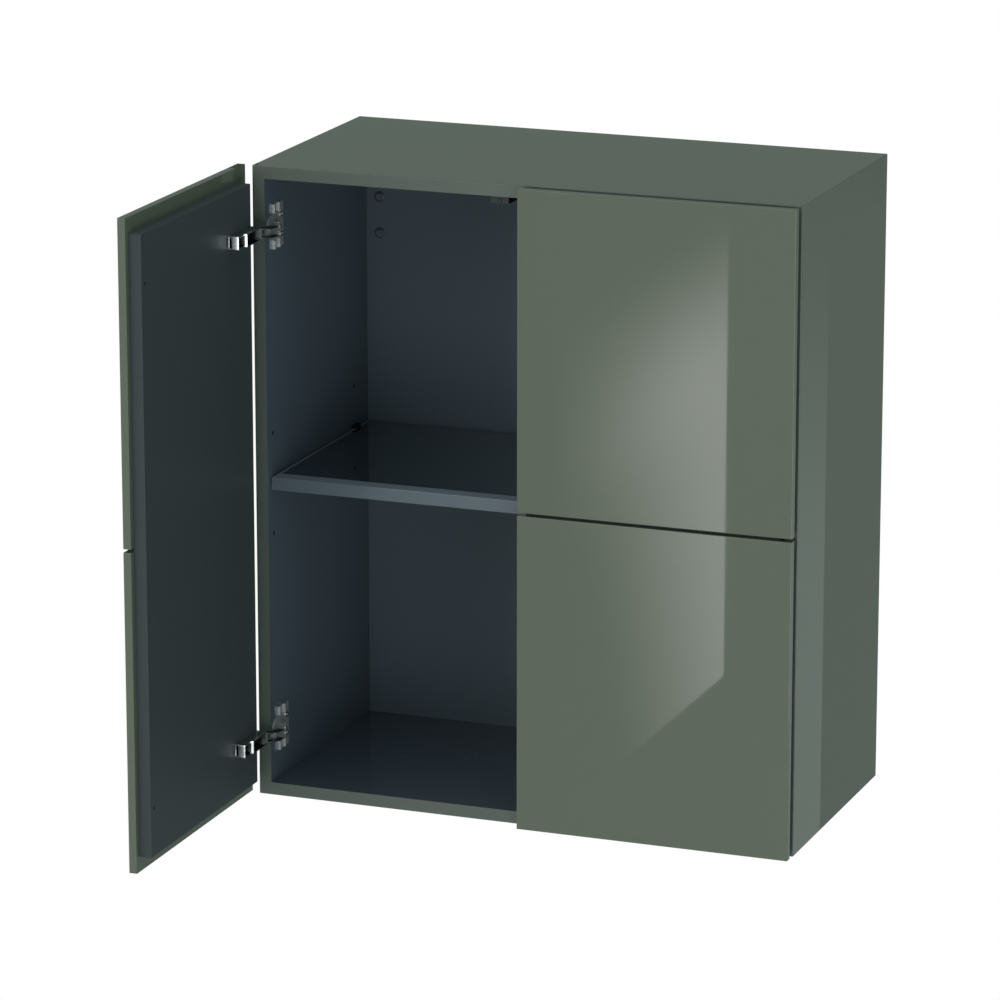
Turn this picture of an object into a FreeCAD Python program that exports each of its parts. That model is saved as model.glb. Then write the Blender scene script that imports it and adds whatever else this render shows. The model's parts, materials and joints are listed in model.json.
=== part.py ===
import FreeCAD, Part
import math
import os
from FreeCAD import Vector

# Wall-hung bathroom cabinet with two doors. Lengths in millimetres, angles in degrees.
# The pieces are built in cabinet coordinates: x from the outer face of the left side,
# y from the carcass's front edge towards the wall, z up from the underside.
# save() moves them to the part's frame, whose origin is the centre of the wall face.

# Carcass
WIDTH = 700.0
HEIGHT = 800.0
CARCASS_DEPTH = 342.0
BOARD = 16.0
BACK_BOARD = 16.0
CARCASS_ROUND = 1.0

# Doors: two fronts on one inner panel, which enters the carcass
FRONT_THICK = 10.0
FRONT_STANDOFF = 11.0
FRONT_REVEAL = 0.75
MEETING_GAP = 3.0
GROOVE = 4.0
FRONT_ROUND = 0.6
INNER_THICK = 16.0
INNER_SIDE_GAP = 6.0
INNER_TOP_GAP = 4.0
INNER_FREE_INSET = 8.0
INNER_ROUND = 0.6
SPARE_HOLE_R = 2.5
SPARE_HOLE_DEPTH = 10.0
SPARE_HOLE_INSET = 10.0

# Swing: one upright axis per door, measured on the left side of the carcass
AXIS_X = 3.0
AXIS_Y = 4.0
OPEN_ANGLE = 90.0

# Room between two fixed pieces, one of them round
FIT_GAP = 0.3

# Hinges
HINGE_FROM_END = 80.0
PLATE_FRONT = 22.4
PLATE_WIDTH = 31.6
PLATE_HALF = 28.0
PLATE_THICK = 1.2
PLATE_EAR_R = 16.5
RIB_HEIGHT = 2.6
RIB_WIDTH = 2.5
RIB_LENGTH = 11.0
RIB_PITCH = 15.6
PLATE_SCREW_PITCH = 24.0
PLATE_SCREW_SETBACK = 24.0
ARM_HALF = 6.0
ARM_LENGTH = 12.0
ARM_RISE = 7.0
ARM_BEVEL = 2.0
NOSE_DEPTH = 6.5
NOSE_GAP = 0.4
ARM_SCREW_R = 2.8
ARM_SCREW_HEAD = 1.2
ARM_SCREW_LENGTH = 4.5
ARM_SCREW_INSET = 5.5
LINK_SHEET = 1.6
LINK_HALF = 8.2
LINK_LENGTH = 63.7
LINK_DEPTH = 15.5
LINK_TIP_LENGTH = 20.0
LINK_TIP_DEPTH = 12.9
LINK_END_LIFT = 3.8
LINK_FLOOR_LIFT = 10.5
LINK_CLEAR = 1.1
LINK_SCREW_PITCH = 22.0
LINK_SCREW_SETBACK = 0.3
LINK_SCREW_BITE = 9.5
ELBOW_SHEET = 1.5
ELBOW_GAP = 0.2
ELBOW_INNER_R = 20.5
ELBOW_OUTER_R = 29.0
ELBOW_DEPTH = 9.5
ELBOW_WEB_ANGLE = 8.0
NOTCH_GAP = 0.5
# Share of the door's angle that the elbow turns through
ELBOW_SHARE = 0.5

# Screws
SCREW_R = 1.6
SCREW_LENGTH = 11.0
SCREW_HEAD_R = 3.6
SCREW_HEAD = 1.4
CROSS_LENGTH = 4.4
CROSS_WIDTH = 0.9
CROSS_DEPTH = 0.7

# Push latches under the top board
LATCH_FROM_MIDDLE = 30.5
LATCH_WIDTH = 23.0
LATCH_HEIGHT = 10.0
LATCH_LENGTH = 60.0
LATCH_FACE_GAP = 1.0
LATCH_ROUND = 0.8
PLUNGER_R = 3.0
PLUNGER_RUN = 0.05
PLUNGER_LENGTH = 28.0
PLUNGER_TIP = 0.8
PLUNGER_DROP = 2.0
PLUNGER_REST_GAP = 0.2
LATCH_BORE_DEPTH = 52.0
LATCH_SCREW_SPREAD = 16.0
LATCH_SCREW_SETBACK = 42.0
SPRING_R = 2.1
SPRING_WIRE_R = 0.35
SPRING_TURNS = 9

# Shelf
SHELF_THICK = 16.0
SHELF_SIDE_GAP = 2.0
SHELF_FRONT_GAP = 3.0
SHELF_BACK_GAP = 6.0
SHELF_ROUND = 0.6
INLAY_THICK = 4.0
INLAY_LIP = 22.0
INLAY_RIM = 3.5
PIN_R = 2.5
PIN_DEPTH = 10.0
PIN_TAB_LENGTH = 10.0
PIN_TAB_HALF = 2.9
PIN_FRONT_SETBACK = 10.0
PIN_REAR_SETBACK = 40.0
PIN_BELOW_MIDDLE = 2.0
PIN_ROW_PITCH = 64.0
STOP_LENGTH = 20.0
STOP_TIP = 8.0
STOP_REACH = 7.0
STOP_HEIGHT = 4.0
STOP_STEM_R = 1.5
STOP_STEM_LENGTH = 6.0

# Wall screws through the back board, under cover caps
WALL_HOLE_R = 3.5
WALL_SINK_R = 6.0
WALL_SINK_DEPTH = 6.0
WALL_HOLE_INSET = 18.0
WALL_HOLE_DROP = 83.0
WALL_HOLE_PITCH = 47.0
CAP_R = 7.0
CAP_TOP_R = 4.5
CAP_RIM = 1.0
CAP_BEVEL = 1.6
CAP_SKIRT = 3.0
CAP_SKIRT_WALL = 1.0

# Places that follow from the sizes above
INSIDE_LEFT = BOARD
INSIDE_RIGHT = WIDTH - BOARD
INSIDE_BOTTOM = BOARD
INSIDE_TOP = HEIGHT - BOARD
INSIDE_BACK = CARCASS_DEPTH - BACK_BOARD
FRONT_BACK = -FRONT_STANDOFF
FRONT_FACE = FRONT_BACK - FRONT_THICK
INNER_FACE = FRONT_BACK + INNER_THICK
INNER_LEFT = INSIDE_LEFT + INNER_SIDE_GAP
INNER_BOTTOM = INSIDE_BOTTOM + INNER_TOP_GAP
INNER_TOP = INSIDE_TOP - INNER_TOP_GAP
FRONT_LEFT = FRONT_REVEAL
FRONT_RIGHT = (WIDTH - MEETING_GAP) / 2
INNER_RIGHT = FRONT_RIGHT - INNER_FREE_INSET
HINGE_HEIGHTS = (HINGE_FROM_END, HEIGHT - HINGE_FROM_END)
PLATE_FACE = BOARD + PLATE_THICK
ARM_FACE = PLATE_FACE + ARM_RISE
LINK_LEFT = ARM_FACE + LINK_CLEAR
LINK_RIGHT = LINK_LEFT + LINK_LENGTH
LINK_STEP = LINK_RIGHT - LINK_TIP_LENGTH
ELBOW_HALF = LINK_HALF - LINK_SHEET - ELBOW_GAP
NOSE_HALF = ELBOW_HALF - ELBOW_SHEET - ELBOW_GAP
NOSE_Y = INNER_FACE - NOSE_DEPTH
NOTCH_RIGHT = AXIS_X + ELBOW_OUTER_R + NOTCH_GAP
NOTCH_BOTTOM = INNER_FACE - ELBOW_DEPTH - NOTCH_GAP
LATCH_FRONT = INNER_FACE + LATCH_FACE_GAP
LATCH_BOTTOM = INSIDE_TOP - LATCH_HEIGHT
LATCH_X = WIDTH / 2 - LATCH_FROM_MIDDLE
PLUNGER_FRONT = INNER_FACE + PLUNGER_REST_GAP
PLUNGER_Z = INNER_TOP - PLUNGER_DROP
SHELF_BOTTOM = (HEIGHT - SHELF_THICK) / 2
SHELF_TOP = SHELF_BOTTOM + SHELF_THICK
SHELF_LEFT = INSIDE_LEFT + SHELF_SIDE_GAP
SHELF_RIGHT = INSIDE_RIGHT - SHELF_SIDE_GAP
SHELF_FRONT = INNER_FACE + SHELF_FRONT_GAP
SHELF_BACK = INSIDE_BACK - SHELF_BACK_GAP
PIN_ROWS = (SHELF_FRONT + PIN_FRONT_SETBACK, SHELF_BACK - PIN_REAR_SETBACK)
PIN_Z = HEIGHT / 2 - PIN_BELOW_MIDDLE
PIN_HEIGHTS = (PIN_Z - PIN_ROW_PITCH, PIN_Z, PIN_Z + PIN_ROW_PITCH)
STOP_BOTTOM = SHELF_TOP + FIT_GAP
STOP_Z = STOP_BOTTOM + STOP_HEIGHT / 2
WALL_HOLE_X = (INSIDE_LEFT + WALL_HOLE_INSET, INSIDE_RIGHT - WALL_HOLE_INSET)
WALL_HOLE_Z = (INSIDE_TOP - WALL_HOLE_DROP, INSIDE_TOP - WALL_HOLE_DROP - WALL_HOLE_PITCH)

X_AXIS = Vector(1, 0, 0)
Y_AXIS = Vector(0, 1, 0)
Z_AXIS = Vector(0, 0, 1)
# Overshoot of a cutting body past the face that it cuts through
PAST = 1.0


def box(x0, x1, y0, y1, z0, z1):
    """Block between two corners."""
    return Part.makeBox(x1 - x0, y1 - y0, z1 - z0, Vector(x0, y0, z0))


def rod(radius, length, x, y, z, axis):
    """Cylinder that starts at a point and runs along an axis."""
    return Part.makeCylinder(radius, length, Vector(x, y, z), axis)


def prism(outline, z0, z1):
    """Upright prism over a plan outline of (x, y) points."""
    points = [Vector(x, y, z0) for x, y in outline]
    wire = Part.makePolygon(points + points[:1])
    return Part.Face(wire).extrude(Vector(0, 0, z1 - z0))


def fuse(shapes):
    """One solid from touching shapes."""
    return shapes[0].multiFuse(shapes[1:]).removeSplitter().Solids[0]


def cut_all(shape, tools):
    """Shape less every tool."""
    return shape.cut(Part.makeCompound(tools)).Solids[0]


def edges_where(shape, test):
    """Edges whose two end points both pass a test."""
    return [edge for edge in shape.Edges if all(test(v.Point) for v in edge.Vertexes)]


def mirrored(solids):
    """The same solids for the right half of the cabinet."""
    return [s.mirror(Vector(WIDTH / 2, 0, 0), X_AXIS) for s in solids]


def opened(solids, share=1.0):
    """Left-door solids swung from shut to the open pose, or a share of the way."""
    turned = [s.copy() for s in solids]
    for solid in turned:
        solid.rotate(Vector(AXIS_X, AXIS_Y, 0), Z_AXIS, -OPEN_ANGLE * share)
    return turned


def save(node, solids):
    """Write a node's solids in the part's frame."""
    placed = [s.copy() for s in solids]
    for solid in placed:
        solid.translate(Vector(-WIDTH / 2, -CARCASS_DEPTH, -HEIGHT / 2))
    shape = placed[0] if len(placed) == 1 else Part.makeCompound(placed)
    shape.exportStep("parts/" + node + ".step")


def screw(base, axis):
    """Cross-head screw: the base lies under the head, and the axis points out of it."""
    head = Part.makeCylinder(SCREW_HEAD_R, SCREW_HEAD, base, axis)
    shank = Part.makeCylinder(SCREW_R, SCREW_LENGTH, base - axis * SCREW_LENGTH, axis)
    recess = []
    for angle in (0, 90):
        bar = Part.makeBox(CROSS_LENGTH, CROSS_WIDTH, CROSS_DEPTH + PAST)
        bar.translate(Vector(-CROSS_LENGTH / 2, -CROSS_WIDTH / 2, SCREW_HEAD - CROSS_DEPTH))
        bar.rotate(Vector(), Z_AXIS, angle)
        bar.Placement = FreeCAD.Placement(base, FreeCAD.Rotation(Z_AXIS, axis)).multiply(bar.Placement)
        recess.append(bar)
    return cut_all(fuse([head, shank]), recess)


def screw_hole(base, axis):
    """Clearance hole for a screw with the same base and axis."""
    reach = PAST + SCREW_LENGTH + FIT_GAP
    return Part.makeCylinder(SCREW_R + FIT_GAP, reach, base + axis * PAST, axis * -1)


def carcass_ring():
    """The four outer boards as one ring, rounded on its front and long outer edges."""
    block = box(0, WIDTH, 0, CARCASS_DEPTH, 0, HEIGHT)
    back = edges_where(block, lambda p: p.y > CARCASS_DEPTH / 2)
    rounded = [e for e in block.Edges if not any(e.isSame(b) for b in back)]
    block = block.makeFillet(CARCASS_ROUND, rounded)
    hollow = box(INSIDE_LEFT, INSIDE_RIGHT, -PAST, CARCASS_DEPTH + PAST, INSIDE_BOTTOM, INSIDE_TOP)
    return block.cut(hollow).Solids[0]


def mitre_wedge(corner_a, corner_b, inward):
    """Upright-front wedge between two mitre planes; corners are (x, z) outer corners."""
    depth = BOARD + PAST
    (ax, az), (bx, bz) = corner_a, corner_b
    along = Vector(bx - ax, 0, bz - az).normalize()
    inner = Vector(inward[0], 0, inward[1])
    a = Vector(ax, -PAST, az)
    b = Vector(bx, -PAST, bz)
    outline = [
        a - (along + inner) * PAST,
        b + (along - inner) * PAST,
        b + (inner - along) * depth,
        a + (inner + along) * depth,
    ]
    face = Part.Face(Part.makePolygon(outline + outline[:1]))
    return face.extrude(Vector(0, CARCASS_DEPTH + 2 * PAST, 0))


def side_holes():
    """Holes for shelf pins, the shelf stop and hinge screws, drilled from the left side's inner face."""
    depth = STOP_STEM_LENGTH + FIT_GAP + PAST
    holes = [rod(STOP_STEM_R + FIT_GAP, depth, BOARD + PAST, PIN_ROWS[1], STOP_Z, -X_AXIS)]
    for y in PIN_ROWS:
        for z in PIN_HEIGHTS:
            holes.append(rod(PIN_R + FIT_GAP, PIN_DEPTH + FIT_GAP + PAST, BOARD + PAST, y, z, -X_AXIS))
    for z in HINGE_HEIGHTS:
        holes += [screw_hole(p, X_AXIS) for p in plate_screw_places(z)]
    return holes


def carcass_boards():
    """Left side, right side, top and bottom boards, mitred at the corners."""
    ring = carcass_ring()
    left = ring.common(mitre_wedge((0, 0), (0, HEIGHT), (1, 0))).Solids[0]
    top = ring.common(mitre_wedge((0, HEIGHT), (WIDTH, HEIGHT), (0, -1))).Solids[0]
    bottom = ring.common(mitre_wedge((0, 0), (WIDTH, 0), (0, 1))).Solids[0]
    left = cut_all(left, side_holes())
    holes = latch_screw_holes()
    top = cut_all(top, holes + mirrored(holes))
    return left, mirrored([left])[0], top, bottom


def back_board():
    """Back board with sunk holes for the wall screws."""
    board = box(INSIDE_LEFT, INSIDE_RIGHT, INSIDE_BACK, CARCASS_DEPTH, INSIDE_BOTTOM, INSIDE_TOP)
    cuts = []
    for x in WALL_HOLE_X:
        for z in WALL_HOLE_Z:
            cuts.append(rod(WALL_HOLE_R, BACK_BOARD + 2 * PAST, x, INSIDE_BACK - PAST, z, Y_AXIS))
            cuts.append(rod(WALL_SINK_R, WALL_SINK_DEPTH + PAST, x, INSIDE_BACK - PAST, z, Y_AXIS))
    return cut_all(board, cuts)


def cover_cap(x, z):
    """Cap with a bevelled rim, whose skirt plugs the sunk hole."""
    rim = rod(CAP_R, CAP_RIM, x, INSIDE_BACK, z, -Y_AXIS)
    bevel = Part.makeCone(CAP_R, CAP_TOP_R, CAP_BEVEL, Vector(x, INSIDE_BACK - CAP_RIM, z), -Y_AXIS)
    skirt_r = WALL_SINK_R - FIT_GAP
    skirt = rod(skirt_r, CAP_SKIRT, x, INSIDE_BACK, z, Y_AXIS)
    skirt = skirt.cut(rod(skirt_r - CAP_SKIRT_WALL, CAP_SKIRT, x, INSIDE_BACK, z, Y_AXIS))
    return fuse([rim, bevel, skirt])


def door_front(z0, z1):
    """One front of the left door, rounded on its face side."""
    block = box(FRONT_LEFT, FRONT_RIGHT, FRONT_FACE, FRONT_BACK, z0, z1)
    middle = (FRONT_FACE + FRONT_BACK) / 2
    back = edges_where(block, lambda p: p.y > middle)
    rounded = [e for e in block.Edges if not any(e.isSame(b) for b in back)]
    return block.makeFillet(FRONT_ROUND, rounded)


def inner_panel():
    """Inner panel of the left door with notches for the elbows, screw holes and spare holes."""
    block = box(INNER_LEFT, INNER_RIGHT, FRONT_BACK, INNER_FACE, INNER_BOTTOM, INNER_TOP)
    middle = (FRONT_BACK + INNER_FACE) / 2
    front = edges_where(block, lambda p: p.y < middle)
    rounded = [e for e in block.Edges if not any(e.isSame(f) for f in front)]
    block = block.makeFillet(INNER_ROUND, rounded)
    cuts = []
    half = ELBOW_HALF + FIT_GAP
    spare_x = INNER_RIGHT - SPARE_HOLE_INSET
    for z in HINGE_HEIGHTS:
        cuts.append(box(INNER_LEFT - PAST, NOTCH_RIGHT, NOTCH_BOTTOM, INNER_FACE + PAST, z - half, z + half))
        cuts.append(rod(SPARE_HOLE_R, SPARE_HOLE_DEPTH + PAST, spare_x, INNER_FACE + PAST, z, -Y_AXIS))
        for p in link_screw_places(z):
            cuts.append(screw_hole(Vector(p.x, INNER_FACE, p.z), Y_AXIS))
    return cut_all(block, cuts)


def link_screw_places(z):
    """Bases of the two screws on the floor of a hinge channel; one head lies close to the tip's step."""
    x = LINK_STEP - LINK_SHEET - LINK_SCREW_SETBACK - SCREW_HEAD_R
    y = INNER_FACE + LINK_FLOOR_LIFT
    return [Vector(x - shift, y, z) for shift in (LINK_SCREW_PITCH, 0)]


def plate_screw_places(z):
    """Bases of the two screws of a hinge's mounting plate."""
    y = PLATE_FRONT + PLATE_SCREW_SETBACK
    return [Vector(PLATE_FACE, y, z + side * PLATE_SCREW_PITCH / 2) for side in (-1, 1)]


def latch_screw_places():
    """Bases of the two screws that hold the left latch up to the top board."""
    y = LATCH_FRONT + LATCH_SCREW_SETBACK
    return [Vector(LATCH_X + side * LATCH_SCREW_SPREAD / 2, y, LATCH_BOTTOM) for side in (-1, 1)]


def latch_screw_holes():
    """Holes for those screws, through the latch and into the top board."""
    reach = PAST + LATCH_HEIGHT + SCREW_LENGTH + FIT_GAP
    return [rod(SCREW_R + FIT_GAP, reach, p.x, p.y, p.z - PAST, Z_AXIS) for p in latch_screw_places()]


def latch_screw(base):
    """Long screw up through a latch into the top board."""
    shank = rod(SCREW_R, LATCH_HEIGHT + SCREW_LENGTH, base.x, base.y, base.z, Z_AXIS)
    return fuse([screw(base, -Z_AXIS), shank])


def link_screw(base):
    """Long screw through the floor of a hinge channel into the inner panel."""
    reach = LINK_FLOOR_LIFT + LINK_SCREW_BITE
    shank = rod(SCREW_R, reach, base.x, base.y, base.z, -Y_AXIS)
    return fuse([screw(base, Y_AXIS), shank])


def hinge_link(z):
    """Channel on the inner panel: two cheeks, a raised floor with screw holes and a closed, lower tip."""
    top_y = INNER_FACE + LINK_DEPTH
    step_y = INNER_FACE + LINK_TIP_DEPTH
    end_y = INNER_FACE + LINK_END_LIFT
    floor_y = INNER_FACE + LINK_FLOOR_LIFT
    outline = [
        (LINK_LEFT, INNER_FACE),
        (LINK_LEFT, top_y),
        (LINK_STEP, top_y),
        (LINK_STEP, step_y),
        (LINK_RIGHT, step_y),
        (LINK_RIGHT, INNER_FACE),
    ]
    z0 = z - LINK_HALF
    z1 = z + LINK_HALF
    pieces = [
        prism(outline, z1 - LINK_SHEET, z1),
        prism(outline, z0, z0 + LINK_SHEET),
        box(NOTCH_RIGHT, LINK_STEP, floor_y - LINK_SHEET, floor_y, z0, z1),
        box(LINK_STEP - LINK_SHEET, LINK_STEP, floor_y - LINK_SHEET, top_y, z0, z1),
        box(LINK_STEP - LINK_SHEET, LINK_RIGHT, step_y - LINK_SHEET, step_y, z0, z1),
        box(LINK_RIGHT - LINK_SHEET, LINK_RIGHT, end_y, step_y, z0, z1),
    ]
    return cut_all(fuse(pieces), [screw_hole(p, Y_AXIS) for p in link_screw_places(z)])


def hinge_plate(z):
    """Mounting plate on the carcass side: ribbed wing with a round front ear."""
    back = PLATE_FRONT + PLATE_WIDTH
    wing = box(BOARD, PLATE_FACE, PLATE_FRONT, back, z - PLATE_HALF, z + PLATE_HALF)
    ear = rod(PLATE_EAR_R, PLATE_THICK, BOARD, PLATE_FRONT, z, X_AXIS)
    pieces = [wing, ear]
    for y in (PLATE_FRONT, PLATE_FRONT + RIB_PITCH):
        for z0 in (z - PLATE_HALF, z + PLATE_HALF - RIB_LENGTH):
            pieces.append(box(PLATE_FACE, PLATE_FACE + RIB_HEIGHT, y, y + RIB_WIDTH, z0, z0 + RIB_LENGTH))
    holes = [screw_hole(p, X_AXIS) for p in plate_screw_places(z)]
    return cut_all(fuse(pieces), holes)


def elbow_angles():
    """Angles of an elbow's two ends about the door's axis, with the door shut."""
    front = math.asin((INNER_FACE - ELBOW_DEPTH - AXIS_Y) / ELBOW_OUTER_R)
    rear = math.acos((PLATE_FACE + FIT_GAP - AXIS_X) / ELBOW_INNER_R)
    return math.degrees(front), math.degrees(rear)


def ring_sector(r0, r1, a0, a1, z0, z1):
    """Part of a ring about the left door's axis, between two angles."""
    centre = Vector(AXIS_X, AXIS_Y, z0)
    sector = Part.makeCylinder(r1, z1 - z0, centre, Z_AXIS, a1 - a0)
    sector.rotate(centre, Z_AXIS, a0)
    return sector.cut(Part.makeCylinder(r0, z1 - z0, centre, Z_AXIS))


def hinge_elbow(z):
    """Bent link that joins the fixed arm to the door's channel: two cheeks and a web at the front."""
    front, rear = elbow_angles()
    web = ELBOW_OUTER_R - ELBOW_SHEET
    z0 = z - ELBOW_HALF
    z1 = z + ELBOW_HALF
    pieces = [
        ring_sector(ELBOW_INNER_R, ELBOW_OUTER_R, front, rear, z1 - ELBOW_SHEET, z1),
        ring_sector(ELBOW_INNER_R, ELBOW_OUTER_R, front, rear, z0, z0 + ELBOW_SHEET),
        ring_sector(web, ELBOW_OUTER_R, front, front + ELBOW_WEB_ANGLE, z0, z1),
    ]
    return fuse(pieces)


def hinge_arm(z):
    """Fixed arm on its plate; the nose stands in front of the plate, between an elbow's cheeks."""
    back = PLATE_FRONT + ARM_LENGTH
    step = AXIS_Y + ELBOW_OUTER_R * math.sin(math.radians(elbow_angles()[1])) + NOSE_GAP
    ear_front = PLATE_FRONT - PLATE_EAR_R - FIT_GAP
    nose = [
        (BOARD + NOSE_GAP, NOSE_Y),
        (BOARD + NOSE_GAP, ear_front),
        (PLATE_FACE, ear_front),
        (PLATE_FACE, step),
        (ARM_FACE, step),
        (ARM_FACE, NOSE_Y),
    ]
    body = [
        (PLATE_FACE, step),
        (PLATE_FACE, back),
        (ARM_FACE - ARM_BEVEL, back),
        (ARM_FACE, back - ARM_BEVEL),
        (ARM_FACE, step),
    ]
    arm = fuse([prism(nose, z - NOSE_HALF, z + NOSE_HALF), prism(body, z - ARM_HALF, z + ARM_HALF)])
    depth = PAST + ARM_SCREW_LENGTH + FIT_GAP
    return cut_all(arm, [rod(SCREW_R + FIT_GAP, depth, ARM_FACE + PAST, back - ARM_SCREW_INSET, z, -X_AXIS)])


def arm_screw(z):
    """Slotted adjusting screw on the outer side of an arm."""
    y = PLATE_FRONT + ARM_LENGTH - ARM_SCREW_INSET
    top = ARM_FACE + ARM_SCREW_HEAD
    head = rod(ARM_SCREW_R, ARM_SCREW_HEAD, ARM_FACE, y, z, X_AXIS)
    shank = rod(SCREW_R, ARM_SCREW_LENGTH, ARM_FACE, y, z, -X_AXIS)
    slot = box(top - CROSS_DEPTH, top + PAST, y - ARM_SCREW_R, y + ARM_SCREW_R,
               z - CROSS_WIDTH / 2, z + CROSS_WIDTH / 2)
    return cut_all(fuse([head, shank]), [slot])


def latch_housing():
    """Body of the left push latch, bored for its plunger."""
    half = LATCH_WIDTH / 2
    back = LATCH_FRONT + LATCH_LENGTH
    block = box(LATCH_X - half, LATCH_X + half, LATCH_FRONT, back, LATCH_BOTTOM, INSIDE_TOP)
    lower = edges_where(block, lambda p: p.z < INSIDE_TOP - LATCH_HEIGHT / 2)
    block = block.makeFillet(LATCH_ROUND, lower)
    depth = LATCH_BORE_DEPTH + PAST
    bore = rod(PLUNGER_R + PLUNGER_RUN, depth, LATCH_X, LATCH_FRONT - PAST, PLUNGER_Z, Y_AXIS)
    return cut_all(block, [bore] + latch_screw_holes())


def latch_plunger():
    """Plunger of the left latch, with a bevelled tip."""
    body = rod(PLUNGER_R, PLUNGER_LENGTH, LATCH_X, PLUNGER_FRONT, PLUNGER_Z, Y_AXIS)
    tip = [e for e in body.Edges if abs(e.BoundBox.YMax - PLUNGER_FRONT) < FIT_GAP]
    return body.makeChamfer(PLUNGER_TIP, tip)


def latch_spring():
    """Coil spring between the plunger and the end of its bore."""
    start = PLUNGER_FRONT + PLUNGER_LENGTH + FIT_GAP + SPRING_WIRE_R
    end = LATCH_FRONT + LATCH_BORE_DEPTH - FIT_GAP - SPRING_WIRE_R
    height = end - start
    helix = Part.makeHelix(height / SPRING_TURNS, height, SPRING_R)
    section = Part.Wire(Part.makeCircle(SPRING_WIRE_R, Vector(SPRING_R, 0, 0), Y_AXIS))
    spring = Part.Wire(helix).makePipeShell([section], True, True)
    spring.rotate(Vector(), X_AXIS, -90)
    spring.translate(Vector(LATCH_X, start, PLUNGER_Z))
    return Part.Solid(spring) if spring.ShapeType == "Shell" else spring.Solids[0]


def shelf_board():
    """Shelf with a recess for the plate in its top, open at the back, and slots for the pins."""
    block = box(SHELF_LEFT, SHELF_RIGHT, SHELF_FRONT, SHELF_BACK, SHELF_BOTTOM, SHELF_TOP)
    front = edges_where(block, lambda p: p.y < SHELF_FRONT + SHELF_THICK)
    long_edges = [e for e in front if abs(e.tangentAt(e.FirstParameter).x) > 0.9]
    block = block.makeFillet(SHELF_ROUND, long_edges)
    recess = box(SHELF_LEFT + INLAY_RIM, SHELF_RIGHT - INLAY_RIM, SHELF_FRONT + INLAY_LIP,
                 SHELF_BACK + PAST, SHELF_TOP - INLAY_THICK, SHELF_TOP + PAST)
    slots = []
    for y in PIN_ROWS:
        x1 = SHELF_LEFT + PIN_TAB_LENGTH
        half = PIN_TAB_HALF + FIT_GAP
        slots.append(box(SHELF_LEFT - PAST, x1, y - half, y + half, SHELF_BOTTOM - PAST, PIN_Z + PIN_R))
    return cut_all(block, [recess] + slots + mirrored(slots))


def shelf_inlay():
    """Glossy plate let into the shelf's top."""
    rim = INLAY_RIM + FIT_GAP
    return box(SHELF_LEFT + rim, SHELF_RIGHT - rim, SHELF_FRONT + INLAY_LIP + FIT_GAP,
               SHELF_BACK, SHELF_TOP - INLAY_THICK, SHELF_TOP)


def shelf_pin(y):
    """Left shelf pin: a round stem in the side and a flat tab under the shelf's slot."""
    stem = rod(PIN_R, PIN_DEPTH + FIT_GAP, BOARD - PIN_DEPTH, y, PIN_Z, X_AXIS)
    tab = box(BOARD + FIT_GAP, BOARD + PIN_TAB_LENGTH, y - PIN_TAB_HALF, y + PIN_TAB_HALF,
              PIN_Z - PIN_R, PIN_Z + PIN_R)
    return fuse([stem, tab])


def shelf_stop():
    """Left stop over the rear pin, which keeps the shelf from tipping: a wedge with a stem in the side."""
    y = PIN_ROWS[1]
    outline = [
        (BOARD, y - STOP_LENGTH / 2),
        (BOARD + STOP_REACH, y - STOP_TIP / 2),
        (BOARD + STOP_REACH, y + STOP_TIP / 2),
        (BOARD, y + STOP_LENGTH / 2),
    ]
    wedge = prism(outline, STOP_BOTTOM, STOP_BOTTOM + STOP_HEIGHT)
    stem = rod(STOP_STEM_R, STOP_STEM_LENGTH, BOARD, y, STOP_Z, -X_AXIS)
    return fuse([wedge, stem])


def save_carcass():
    """Nodes that stay with the wall."""
    left, right, top, bottom = carcass_boards()
    save("side_left", [left])
    save("side_right", [right])
    save("top_board", [top])
    save("bottom_board", [bottom])
    save("back_board", [back_board()])
    save("cover_caps", [cover_cap(x, z) for x in WALL_HOLE_X for z in WALL_HOLE_Z])
    save("shelf_board", [shelf_board()])
    save("shelf_inlay", [shelf_inlay()])
    pins = [shelf_pin(y) for y in PIN_ROWS]
    save("shelf_pins", pins + mirrored(pins))
    stop = shelf_stop()
    save("shelf_stops", [stop] + mirrored([stop]))


def save_fixed_hinge_parts():
    """Plates, arms and their screws on both sides of the carcass."""
    plates = [hinge_plate(z) for z in HINGE_HEIGHTS]
    arms = [hinge_arm(z) for z in HINGE_HEIGHTS]
    plate_screws = [screw(p, X_AXIS) for z in HINGE_HEIGHTS for p in plate_screw_places(z)]
    adjusters = [arm_screw(z) for z in HINGE_HEIGHTS]
    save("hinge_plates_left", plates)
    save("hinge_plates_right", mirrored(plates))
    save("hinge_arms_left", arms)
    save("hinge_arms_right", mirrored(arms))
    save("hinge_plate_screws", plate_screws + mirrored(plate_screws))
    save("hinge_arm_screws", adjusters + mirrored(adjusters))


def save_latches():
    """Push latch of each door."""
    screws = [latch_screw(p) for p in latch_screw_places()]
    save("latch_screws", screws + mirrored(screws))
    for node, make in (("latch_housing", latch_housing), ("latch_plunger", latch_plunger),
                       ("latch_spring", latch_spring)):
        solid = make()
        save(node + "_left", [solid])
        save(node + "_right", mirrored([solid]))


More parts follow.
